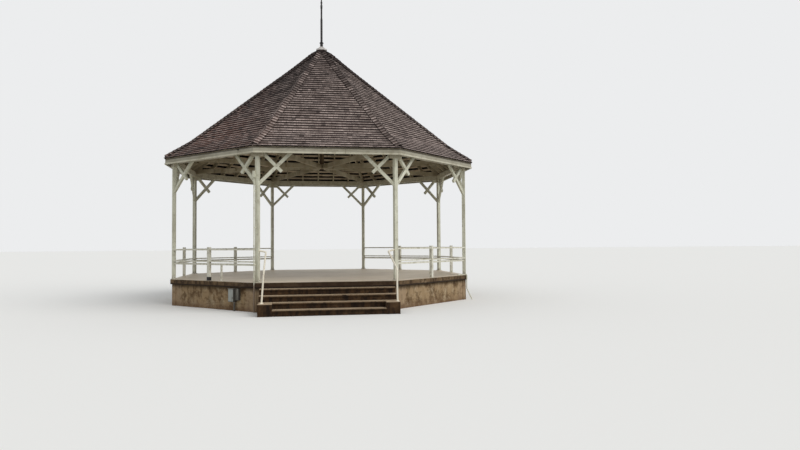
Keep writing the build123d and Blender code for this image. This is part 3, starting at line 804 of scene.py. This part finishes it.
def build_hip_caps():
    """Pairs of narrow shingles up each hip, lapped over one another on alternate sides."""
    heap = Heap()
    for bay, angle in enumerate(BAY_ANGLES):
        for side in (-1, 1):
            hip_tone = HIP_TONES.get((bay - (side < 0)) % SIDES, SHADED_HIP_TONE)
            for number in range(int((slope.length - CAP_START) / CAP_SHOWN)):
                low = CAP_START + number * CAP_SHOWN
                lap = -CAP_LAP if (number + (side > 0)) % 2 else 0.0
                tone = random.choice(CAP_TONES) + random.uniform(-CAP_TONE_STRAY, CAP_TONE_STRAY)
                tone *= hip_tone * (1 - CAP_DARKEN * low / slope.length)
                lay_cap(heap, angle, side, low, lap, tone, random.uniform(0, CAP_CURL))
    heap.piece("hip_caps", shingles, "wood_shingles")


def build_flashing():
    """Sheet metal folded over the curb's top, and folded seams on the corners of the cap."""
    heap = Heap()
    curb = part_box("cap_curb")[1]
    folds = (
        (curb.x + FLASHING_T, curb.z - FLASHING_H),
        (curb.x + FLASHING_T - 0.001, curb.z - FLASHING_T),
        (curb.x - FLASHING_LIP, curb.z + FLASHING_T),
    )
    corners = [bay_axes(angle)[0] for angle in POST_ANGLES]
    rings = [[out * reach / math.cos(HALF) + UP * height for out in corners] for reach, height in folds]
    for low, high in zip(rings, rings[1:]):
        heap.prism(high, low)
    spots = {(round(Vector(v.co.xy).length, 4), round(v.co.z, 4)) for v in nodes["roof_cap"].data.vertices}
    line = sorted({(radius, z) for radius, z in spots if radius > CAP_POINT}, key=lambda spot: spot[1])
    for out in corners:
        for (low_r, low_z), (high_r, high_z) in zip(line, line[1:]):
            start = out * low_r + UP * low_z
            end = out * high_r + UP * high_z
            if (end - start).length > SEAM_SHORTEST:
                heap.bar(start, end, SEAM_W, SEAM_D)
    heap.piece("cap_flashing", zinc, "grey_metal")


def build_roof():
    for name, angle in BAYS.items():
        build_shingles(angle, name)
        build_boarding(angle, name)
    build_hip_caps()
    build_flashing()


# Feet of the posts

FOOT_IN = 0.074  # the foot plate's inner edge, from the post's middle
FOOT_OUT = 0.056
FOOT_W = 0.150
FOOT_T = 0.018
CHEEK_T = 0.006
CHEEK_W = 0.076
CHEEK_H = 0.075
FOOT_BOLT_SIDE = 0.062
FOOT_BOLT_OUT = (-0.048, 0.030)
CHEEK_BOLT_Z = 0.048
FOOT_BOLT = (0.008, 0.011)  # radius of the head and of the washer, as in each bolt below
CHEEK_BOLT = (0.008, 0.012)


def build_post_feet():
    """Steel foot plates, bolted down beside the posts, with a low cheek on each side."""
    plates, bolts = Heap(), Heap()
    for angle in POST_ANGLES:
        out, along = bay_axes(angle)
        foot = out * POST_R + UP * FLOOR_TOP
        plates.bar(foot - out * FOOT_IN, foot + out * FOOT_OUT, FOOT_W, FOOT_T)
        for side in (-1, 1):
            aside = along * side
            cheek = foot + aside * (POST_HALF + CHEEK_T / 2)
            plates.bar(cheek - out * CHEEK_W / 2, cheek + out * CHEEK_W / 2, CHEEK_T, 2 * CHEEK_H)
            for reach in FOOT_BOLT_OUT:
                spot = foot + aside * FOOT_BOLT_SIDE + out * reach + UP * FOOT_T / 2
                bolts.bolt(spot, UP, *FOOT_BOLT)
            bolts.bolt(cheek + aside * CHEEK_T / 2 + UP * CHEEK_BOLT_Z, aside, *CHEEK_BOLT)
    plates.piece("post_feet", fixing_paint, "white_metal")
    bolts.piece("post_foot_bolts", bolt_metal, "white_metal")


# Bolts of the braces, as (distance from the post's middle, height)

BRACE_CROSSING = (0.4575, 3.5745)
LONG_BRACE_FOOT = (0.085, 3.204)
LONG_BRACE_HEAD = (0.742, 3.858)
SHORT_BRACE_HEAD = (0.170, 3.862)
BRACE_SPOTS = (BRACE_CROSSING, LONG_BRACE_FOOT, LONG_BRACE_HEAD, SHORT_BRACE_HEAD)
BRACE_HALF = 0.030  # half the braces' thickness
BRACE_BOLT = (0.011, 0.018)
BOLT_SINK = 0.001


def build_brace_bolts():
    """Bolts through the crossed braces, at the crossings and the ends."""
    bolts = Heap()
    for angle in BAY_ANGLES:
        out, _ = bay_axes(angle)
        for side in (-1, 1):
            for run, z in BRACE_SPOTS:
                for face in (-1, 1):
                    reach = POST_A + face * (BRACE_HALF - BOLT_SINK)
                    bolts.bolt(bay_point(angle, reach, side * (BAY / 2 - run), z), out * face, *BRACE_BOLT)
    bolts.piece("brace_bolts", fixing_paint, "white_metal")


# Fixings of the railings

RAIL_UNDER = 0.826 - 0.038  # underside of the top rail, above the floor
LEDGE_UNDER = 0.516 - 0.034
RAIL_ANGLE_SPOT = 0.052  # its corner, from the post's middle
RAIL_ANGLE_W = 0.034
RAIL_LEAF = (0.055, 0.004)  # length and thickness of the leaf under the rail
POST_LEAF = (0.045, 0.006)
MIDDLE_HALF = 0.078 / 2  # half the side of a middle post
MIDDLE_ANGLE_GAP = 0.002  # from the post to the upright leaf's middle, and from there to its bolt
MIDDLE_ANGLE_W = 0.042
UPRIGHT_LEAF = (0.070, 0.005)
FLOOR_LEAF = (0.045, 0.006)
FLOOR_BOLT_OUT = 0.027
FLOOR_BOLT_Z = 0.005
LEAF_BOLT_Z = 0.045
MIDDLE_BOLT = (0.006, 0.010)
SHOE_BAY = "front_left"  # the middle post of this bay stands in a dark shoe
SHOE_W = 0.086
SHOE_BANDS = (0.004, 0.048, 0.092)
SHOE_BAND_T = 0.008
SHOE_PLATE_OUT = 0.041
SHOE_PLATE_H = 0.096
SHOE_PLATE_T = 0.005
SHOE_PLATE_W = 0.080  # of the plates between the other two


def add_rail_angle(heap, corner, aside):
    """Angle below a rail: one leaf under the rail, the other down the post."""
    length, thick = RAIL_LEAF
    heap.bar(corner, corner - aside * length, RAIL_ANGLE_W, thick)
    length, thick = POST_LEAF
    heap.bar(corner, corner - UP * length, RAIL_ANGLE_W, thick, aside)


def add_foot_angle(heap, face, aside):
    """Angle that holds a middle post to the floor, with a bolt in each leaf."""
    length, thick = UPRIGHT_LEAF
    heap.bar(face, face + UP * length, MIDDLE_ANGLE_W, thick, aside)
    length, thick = FLOOR_LEAF
    lift = UP * thick / 2
    heap.bar(face + lift, face + aside * length + lift, MIDDLE_ANGLE_W, thick)
    heap.bolt(face + aside * FLOOR_BOLT_OUT + UP * FLOOR_BOLT_Z, UP, *MIDDLE_BOLT)
    heap.bolt(face + aside * MIDDLE_ANGLE_GAP + UP * LEAF_BOLT_Z, aside, *MIDDLE_BOLT)


def add_shoe(heap, foot, out, along):
    """Dark shoe around the foot of a middle post."""
    for height in SHOE_BANDS:
        lift = UP * height
        heap.bar(foot - out * SHOE_W / 2 + lift, foot + out * SHOE_W / 2 + lift, SHOE_W, SHOE_BAND_T)
    for side in (-1, 1):
        for axis, width in ((along, SHOE_W), (out, SHOE_PLATE_W)):
            start = foot + axis * side * SHOE_PLATE_OUT
            heap.bar(start, start + UP * SHOE_PLATE_H, width, SHOE_PLATE_T, axis)


def build_rail_fixings():
    """Angles that hold the rails to the posts, and the feet of the middle posts."""
    angles, shoe = Heap(), Heap()
    for name, angle in BAYS.items():
        rail = nodes.get(f"railing_{name}")
        if rail is None:
            continue
        out, along = bay_axes(angle)
        spots = [v.co for v in rail.data.vertices]
        tall = max(spot.z for spot in spots)
        middle = middle_of([spot for spot in spots if spot.z > tall - 0.002])
        foot = Vector((middle.x, middle.y, FLOOR_TOP))
        for side in (-1, 1):
            aside = along * side
            for under in (RAIL_UNDER, LEDGE_UNDER):
                height = FLOOR_TOP + under - RAIL_LEAF[1] / 2
                corner = bay_point(angle, POST_A, side * (BAY / 2 - RAIL_ANGLE_SPOT), height)
                add_rail_angle(angles, corner, aside)
            if name != SHOE_BAY:
                add_foot_angle(angles, foot + aside * (MIDDLE_HALF + MIDDLE_ANGLE_GAP), aside)
        if name == SHOE_BAY:
            add_shoe(shoe, foot, out, along)
    angles.piece("rail_angles", fixing_paint, "white_metal")
    shoe.piece("middle_post_shoe", iron, "dark_iron")


# Feet of the pipe handrails

FLANGE_R = 0.050
FLANGE_T = 0.007
SOCKET_R = 0.029
SOCKET_H = 0.022
FLANGE_SCREWS = 3
FLANGE_SCREW_R = 0.040
FLANGE_SCREW_Z = 0.006


def build_handrail_flanges():
    """Round flanges with sockets and screws, at the feet of the pipe handrails."""
    heap, screws = Heap(), Heap()
    block_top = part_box("step_cheeks")[1].z
    pipe = [v.co for v in nodes["handrails"].data.vertices]
    for side in (-1, 1):
        foot = middle_of([spot for spot in pipe if spot.x * side > 0 and spot.z < block_top + 0.004])
        foot.z = block_top
        heap.disc(foot, UP, FLANGE_R, FLANGE_T, 24, 0.94)
        heap.disc(foot + UP * FLANGE_T, UP, SOCKET_R, SOCKET_H, 20, 0.90)
        for turn in range(FLANGE_SCREWS):
            t = math.radians(90 + 360 / FLANGE_SCREWS * turn)
            spot = Vector((math.cos(t) * FLANGE_SCREW_R, math.sin(t) * FLANGE_SCREW_R, FLANGE_SCREW_Z))
            screws.screw(foot + spot, UP, 0.0055, 0.004)
    heap.piece("handrail_flanges", pipe_paint, "white_metal")
    screws.piece("handrail_screws", bolt_metal, "white_metal")


# Electrical boxes: margins are left, right, below and above

DOOR = (0.010, 0.010, 0.012, 0.020)
DOOR_PANEL = (0.028, 0.028, 0.150, 0.045)
SIDE_LID = (0.012, 0.008, 0.008, 0.008)
HOOD = (-0.004, -0.004, -0.004, -0.006)
LATCH = (-0.034, 0.016, 0.085, -0.125)
HINGE_IN = 0.008
HINGE_R = 0.005
HINGE_L = 0.030
KNOB_IN = 0.025
KNOB_Z = 0.105
LID_SCREW_IN = (0.024, 0.020)  # from the smaller box's left and right edge
LID_SCREW_Z = 0.022
STUB_BACK = 0.060  # the pipe's middle behind the big box's face
STUB_IN = 0.030
NUT_R = 0.031
NUT_T = 0.018
COLLAR_R = 0.028
COLLAR_T = 0.006


def box_outlines(out, along):
    """(left, right, low, high) and face of the big box, and the same of the smaller one at its right."""
    spots = [(v.co.dot(out), v.co.dot(along), v.co.z) for v in nodes["meter_box"].data.vertices]
    face = max(a for a, _, _ in spots)
    big = [(x, z) for a, x, z in spots if a > face - 0.002]
    left, right = min(x for x, _ in big), max(x for x, _ in big)
    low, high = min(z for _, z in big), max(z for _, z in big)
    edge = max(x for _, x, _ in spots)
    outer = [(a, z) for a, x, z in spots if x > edge - 0.001]
    small_face = max(a for a, _ in outer)
    small_low = min(z for _, z in outer)
    return (left, right, low, high), face, (right, edge, small_low, high), small_face


def build_box_fittings():
    """Door, hood, hinges, latch and pipe nut of the electrical box, and the lid of the smaller one."""
    doors, lid, parts = Heap(), Heap(), Heap()
    out, along = bay_axes(BAYS["front_left"])
    big, face, small, small_face = box_outlines(out, along)
    left, right, low, high = big

    def spot(depth, x, z):
        return out * depth + along * x + UP * z

    def plate(heap, outline, margins, depth, thick):
        x0, x1 = outline[0] + margins[0], outline[1] - margins[1]
        z0, z1 = outline[2] + margins[2], outline[3] - margins[3]
        middle = out * depth + along * (x0 + x1) / 2
        heap.bar(middle + UP * z0, middle + UP * z1, x1 - x0, thick, out)

    plate(doors, big, DOOR, face + 0.003, 0.008)
    plate(doors, big, DOOR_PANEL, face + 0.008, 0.006)
    plate(lid, small, SIDE_LID, small_face + 0.002, 0.006)
    plate(parts, (left, right, high, high), HOOD, face - 0.010, 0.052)
    for z in (low + 0.05, (low + high) / 2, high - 0.06):
        hinge = spot(face + 0.006, left + HINGE_IN, z)
        parts.disc(hinge - UP * HINGE_L / 2, UP, HINGE_R, HINGE_L, 10)
    plate(parts, (right, right, low, low), LATCH, face + 0.011, 0.010)
    parts.disc(spot(face + 0.014, right - KNOB_IN, low + KNOB_Z), out, 0.006, 0.006, 10)
    for x in (small[0] + LID_SCREW_IN[0], small[1] - LID_SCREW_IN[1]):
        for z in (small[2] + LID_SCREW_Z, small[3] - LID_SCREW_Z):
            parts.screw(spot(small_face + 0.004, x, z), out, 0.004, 0.003)
    stub = spot(face - STUB_BACK, right - STUB_IN, low - NUT_T)
    parts.disc(stub, UP, NUT_R, NUT_T)
    parts.disc(stub - UP * COLLAR_T, UP, COLLAR_R, COLLAR_T, 16)
    doors.piece("box_doors", box_door, "grey_metal")
    lid.piece("box_side_lid", box_shaded_lid, "grey_metal")
    parts.piece("box_fittings", bolt_metal, "grey_metal")


# Conduits

COUPLING_HEIGHTS = (FLOOR_TOP + 0.115, 1.60, 2.52)
COUPLING_R = 0.0175
COUPLING_L = 0.045
JUNCTION_HALF_H = 0.0825
JUNCTION_HALF_D = 0.032
JUNCTION_LID = (0.058, 0.156, 0.006)  # width, height and thickness
LID_SCREWS = (0.022, 0.068)  # aside and up from the lid's middle
SLAB_PIPE_OUT = 4.0  # the pipe along the slab lies further out
SLAB_PIPE_RISE = 0.04
SLAB_PIPE_STRAIGHT = 1.3  # it is straight up to this place along the bay
SLAB_PIPE_Z = 0.014  # its middle above the floor
STRAP_PLACES = (0.06, 0.27)  # from its end
STRAP_R = 0.0165
STRAP_W = 0.018
STRAP_LEG = 0.040
STRAP_SCREW = 0.031


def add_junction_lid(lids, screws, top, out):
    """Lid with four screws on the junction box, whose top has its middle at that point."""
    width, height, thick = JUNCTION_LID
    aside = out.cross(UP)
    middle = top - UP * JUNCTION_HALF_H + out * JUNCTION_HALF_D
    lids.bar(middle - UP * height / 2, middle + UP * height / 2, width, thick, out)
    for right in (-1, 1):
        for up in (-1, 1):
            spot = middle + aside * right * LID_SCREWS[0] + UP * up * LID_SCREWS[1] + out * thick / 2
            screws.screw(spot, out, 0.0035, 0.003)


def add_slab_straps(heap, spots):
    """Straps that hold the pipe along the edge of the slab in the front right bay."""
    out, along = bay_axes(BAYS["front_right"])
    pipe = [v for v in spots if v.dot(out) > SLAB_PIPE_OUT and abs(v.z - FLOOR_TOP) < SLAB_PIPE_RISE]
    straight = [v.dot(out) for v in pipe if v.dot(along) < SLAB_PIPE_STRAIGHT]
    reach = sum(straight) / len(straight)
    start = min(v.dot(along) for v in pipe)
    for place in STRAP_PLACES:
        spot = out * reach + along * (start + place) + UP * (FLOOR_TOP + SLAB_PIPE_Z)
        heap.disc(spot - along * STRAP_W / 2, along, STRAP_R, STRAP_W, 16)
        heap.bar(spot - out * STRAP_LEG - UP * 0.012, spot, STRAP_W, 0.004)
        heap.screw(spot - out * STRAP_SCREW - UP * 0.010, UP, 0.0045, 0.004)


def build_conduit_fittings():
    """Couplings, the junction box's lid, and straps on the pipe along the slab."""
    heap, straps = Heap(), Heap()
    spots = [v.co for v in nodes["conduits"].data.vertices]
    tall = max(v.z for v in spots)
    top = middle_of([v for v in spots if v.z > tall - 0.002])
    foot = Vector((top.x, top.y, 0))
    for z in COUPLING_HEIGHTS:
        heap.disc(foot + UP * z, UP, COUPLING_R, COUPLING_L, 20)
    add_junction_lid(heap, straps, top, foot.normalized())
    add_slab_straps(straps, spots)
    heap.piece("conduit_fittings", plastic_pipe, "conduit_metal")
    straps.piece("conduit_straps", zinc, "conduit_metal")


# Trim of the fascia

LATH_T = 0.016
LATH_H = 0.040
JOINT_SPOTS = (-0.86, -0.3, 0.35, 0.9)  # a bay's joint is at one of these places along it
SEEN_JOINTS = {"front": 0.43, "front_left": 1.24}  # but for these two bays
JOINT_W = 0.004
JOINT_D = 0.002
JOINT_SHORT = 0.001
DAMAGED_BAY = "front_left"
SPLITS = ((0.030, 0.060), (0.046, 0.026), (0.018, 0.085))  # height and width of each split at the joint
SPLIT_ASIDE = 0.02
SPLIT_STEP = 0.012
SPLIT_BELOW_TOP = 0.012
SPLIT_D = 0.003
NAIL_PITCH = 0.33
NAIL_STRAY = 0.01
NAIL_LOW = 0.065
NAIL_HIGH = 0.030
NAIL_SINK = 0.001


def build_fascia_trim():
    """A narrow lath along the foot of the fascia, the fascia's butt joints and its nails."""
    trim, joints, nails = Heap(), Heap(), Heap()
    lo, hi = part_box("fascia")
    face = hi.x
    front = face + LATH_T
    outline = [(a, side * a * math.tan(HALF)) for a, side in ((face, -1), (face, 1), (front, 1), (front, -1))]
    for name, angle in BAYS.items():
        out, _ = bay_axes(angle)
        rings = [[bay_point(angle, a, x, z) for a, x in outline] for z in (lo.z + LATH_H, lo.z)]
        trim.prism(*rings)
        drawn = random.choice(JOINT_SPOTS)
        joint = SEEN_JOINTS.get(name, drawn)
        for low, high, depth in ((lo.z + LATH_H, hi.z, face), (lo.z, lo.z + LATH_H, front)):
            at = bay_point(angle, depth, joint, 0)
            joints.bar(at + UP * (low + JOINT_SHORT), at + UP * (high - JOINT_SHORT), JOINT_W, JOINT_D, out)
        if name == DAMAGED_BAY:
            for step, (tall, wide) in enumerate(SPLITS):
                place = joint + SPLIT_ASIDE - SPLIT_STEP * step
                at = bay_point(angle, face, place, hi.z - SPLIT_BELOW_TOP - tall)
                joints.bar(at, at + UP * tall, wide, SPLIT_D, out)
        for number in range(-5, 6):
            for z in (lo.z + NAIL_LOW, hi.z - NAIL_HIGH):
                place = number * NAIL_PITCH + random.uniform(-NAIL_STRAY, NAIL_STRAY)
                nails.screw(bay_point(angle, face - NAIL_SINK, place, z), out, 0.0050, 0.0022, 0.8)
    trim.piece("fascia_trim", trim_paint, "fascia_wood")
    joints.piece("fascia_joints", joint_shade, "fascia_wood")
    nails.piece("fascia_nails", bolt_metal, "fascia_wood")


def build_fittings():
    build_post_feet()
    build_brace_bolts()
    build_rail_fixings()
    build_handrail_flanges()
    build_box_fittings()
    build_conduit_fittings()
    build_fascia_trim()


# Ground, backdrop and light

GROUND_HALF = 300.0
GROUND_Z = -0.002
GROUND_LIT = tint(196, 194, 186)
GROUND_SEEN = tint(238, 238, 236)
BACKDROP = tint(236, 237, 238)
SKY_COLOUR = (0.97, 0.985, 1.0, 1.0)
SKY_LOW = 0.70  # strength at the horizon
SKY_HIGH = 0.60
SUN_STRENGTH = 1.55
SUN_WIDTH = 55  # degrees
SUN_COLOUR = (1.0, 0.98, 0.95)
SUN_TILT = 50
SUN_TURN = 52


def make_stage():
    """Wide ground, paler where it is looked at than where it throws light."""
    mesh = bpy.data.meshes.new("ground")
    corners = [(x * GROUND_HALF, y * GROUND_HALF, GROUND_Z) for x, y in ((-1, -1), (1, -1), (1, 1), (-1, 1))]
    mesh.from_pydata(corners, [], [(0, 1, 2, 3)])
    f = Finish("pale_ground", roughness=0.95, specular=0.0)
    f.colour(f.mix(GROUND_LIT, GROUND_SEEN, f.seen()))
    mesh.materials.append(f.material)
    ground = add_object("ground", mesh)


def make_sky():
    """Soft light from all round, with the pale backdrop in its place where it is looked at."""
    world = bpy.data.worlds.new("world")
    bpy.context.scene.world = world
    world.use_nodes = True
    world.node_tree.nodes.clear()
    n = Nodes(world.node_tree)
    height = n.split(n.add("TexCoord", output="Generated"))[2]
    strength = n.add("MapRange", {"Value": height, "To Min": SKY_LOW, "To Max": SKY_HIGH})
    sky = n.add("Background", {"Color": SKY_COLOUR, "Strength": strength})
    backdrop = n.add("Background", {"Color": BACKDROP})
    light = n.add("MixShader", {0: n.seen(), 1: sky, 2: backdrop})
    output = n.tree.nodes.new("ShaderNodeOutputWorld")
    n.join(light, output.inputs["Surface"])


def make_sun():
    data = bpy.data.lights.new("key", "SUN")
    data.energy = SUN_STRENGTH
    data.angle = math.radians(SUN_WIDTH)
    data.color = SUN_COLOUR
    sun = add_object("key", data)
    sun.rotation_euler = (math.radians(SUN_TILT), 0, math.radians(SUN_TURN))


make_camera()
dress_nodes()
build_roof()
build_fittings()
make_stage()
make_sky()
make_sun()

bpy.context.scene.view_settings.view_transform = "Standard"
